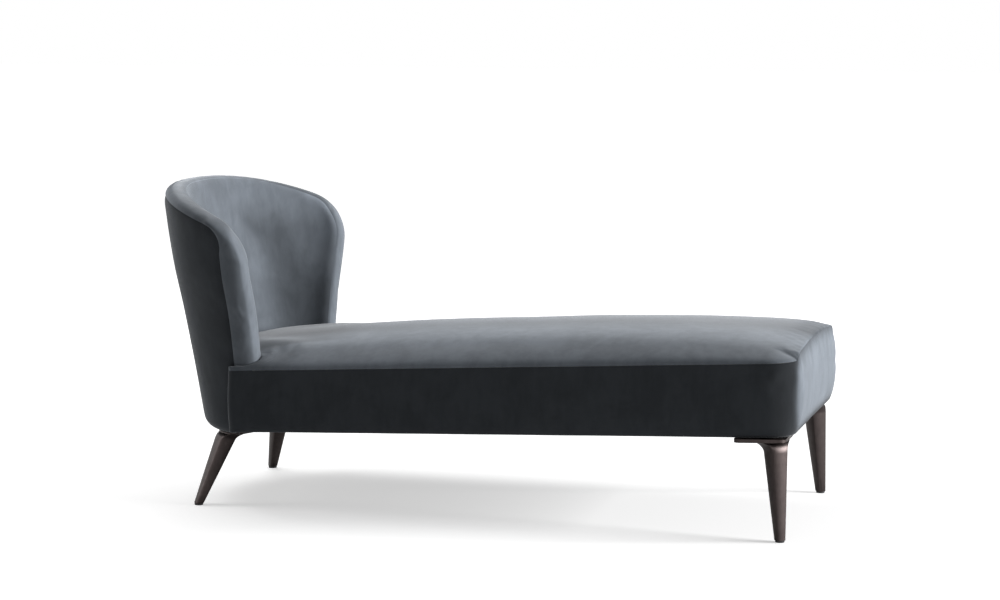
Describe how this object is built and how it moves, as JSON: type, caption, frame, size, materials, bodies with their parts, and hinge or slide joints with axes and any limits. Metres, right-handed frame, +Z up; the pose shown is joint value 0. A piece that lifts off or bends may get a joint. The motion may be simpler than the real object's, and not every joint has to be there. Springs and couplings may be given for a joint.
{
  "type": "chaise longue",
  "caption": "Chaise longue: a long crowned seat on splayed cast legs, with a padded back curved round the sitter at one end.",
  "frame": {"origin": "on the floor, under the middle of the whole outline's length and width", "axes": "+X towards the foot end, +Y to the sitter's left, +Z up"},
  "size_m": [1.5756, 0.7646, 0.76],
  "materials": {
    "velvet": "grey-blue velvet, short dense pile",
    "velvet_band": "grey-blue velvet, short dense pile, in the band round the back's edge",
    "velvet_shade": "grey-blue velvet, short dense pile, on the outer back and the seat's sides",
    "lining": "black non-woven bottoming cloth",
    "foam": "cream upholstery foam under wadding",
    "timber": "planed pine",
    "plywood": "birch plywood",
    "webbing": "woven jute webbing",
    "cast_metal": "polished die casting with a dark bronze finish",
    "steel": "bright zinc plate",
    "glide": "dark nylon"
  },
  "bodies": {
    "root": {"seat_top_cover": "velvet", "back_inside_cover": "velvet", "back_border_band": "velvet_band", "seat_side_cover": "velvet_shade", "back_outside_cover": "velvet_shade", "seat_dust_cover": "lining", "back_dust_cover": "lining", "seat_foam_core": "foam", "back_foam": "foam", "seat_side_rail_left": "timber", "seat_side_rail_right": "timber", "seat_back_rail": "timber", "seat_foot_rail": "timber", "seat_cross_rail_1": "timber", "seat_cross_rail_2": "timber", "corner_block_rear_left": "timber", "corner_block_rear_right": "timber", "corner_block_foot_left": "timber", "corner_block_foot_right": "timber", "back_base_rail": "timber", "seat_base_board": "plywood", "back_shell_board": "plywood", "webbing_1": "webbing", "webbing_2": "webbing", "webbing_3": "webbing", "webbing_4": "webbing", "webbing_5": "webbing", "webbing_6": "webbing", "webbing_7": "webbing", "webbing_8": "webbing", "webbing_9": "webbing", "webbing_10": "webbing", "foot_leg_left": "cast_metal", "foot_leg_right": "cast_metal", "rear_leg_left": "cast_metal", "rear_leg_right": "cast_metal", "foot_glide_left": "glide", "foot_glide_right": "glide", "rear_glide_left": "glide", "rear_glide_right": "glide", "foot_leg_side_bolt_left": "steel", "foot_leg_side_bolt_right": "steel", "foot_leg_end_bolt_left": "steel", "foot_leg_end_bolt_right": "steel", "rear_leg_bolt_left": "steel", "rear_leg_bolt_right": "steel", "rear_leg_stud_left": "steel", "rear_leg_stud_right": "steel", "base_board_screw_left": "steel", "base_board_screw_right": "steel"}
  },
  "joints": []
}
